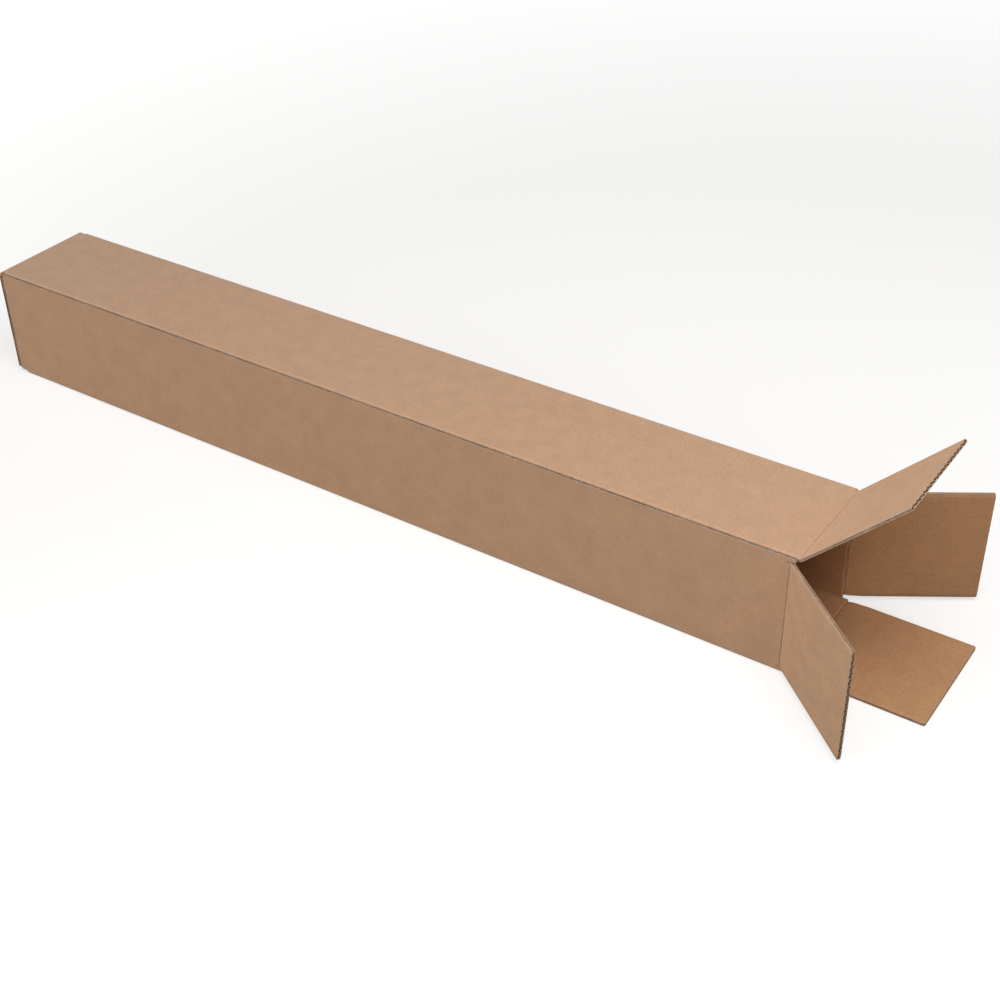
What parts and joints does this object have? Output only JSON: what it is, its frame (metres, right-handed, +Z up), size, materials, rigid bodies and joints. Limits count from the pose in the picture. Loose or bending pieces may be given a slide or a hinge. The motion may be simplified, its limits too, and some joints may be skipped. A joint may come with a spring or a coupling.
{
  "type": "cardboard mailing tube",
  "caption": "Long square corrugated cardboard mailing tube, folded from one sheet, shut at one end and open at the other with hinged flaps.",
  "frame": {"origin": "at the mouth, where the front flap's crease crosses over the middle of the carton's base, on the surface that it lies on", "axes": "+X along the carton and out of its mouth, +Y to its back, +Z up"},
  "size_m": [0.969, 0.2358, 0.1843],
  "materials": {
    "kraft_board": "uncoated brown kraft liner on both faces of single-wall corrugated board, matt, with faint flute lines and darker raw cut edges"
  },
  "bodies": {
    "carton": {"sleeve": "kraft_board"},
    "top_flap": {"top_flap": "kraft_board"},
    "front_flap": {"front_flap": "kraft_board"},
    "back_flap": {"back_flap": "kraft_board"},
    "bottom_flap": {"bottom_flap": "kraft_board"}
  },
  "joints": [
    {"name": "top_flap_fold", "type": "hinge", "parent": "carton", "child": "top_flap", "pos_m": [0.0064, 0, 0.10925], "axis": [0, -1, 0], "range_deg": [-135, 105]},
    {"name": "front_flap_fold", "type": "hinge", "parent": "carton", "child": "front_flap", "pos_m": [0, -0.05425, 0.055], "axis": [0, 0, -1], "range_deg": [-131, 109]},
    {"name": "back_flap_fold", "type": "hinge", "parent": "carton", "child": "back_flap", "pos_m": [0.0032, 0.05425, 0.055], "axis": [0, 0, 1], "range_deg": [-122, 118]},
    {"name": "bottom_flap_fold", "type": "hinge", "parent": "carton", "child": "bottom_flap", "pos_m": [0.0096, 0, 0.00075], "axis": [0, 1, 0], "range_deg": [-90, 0]}
  ]
}
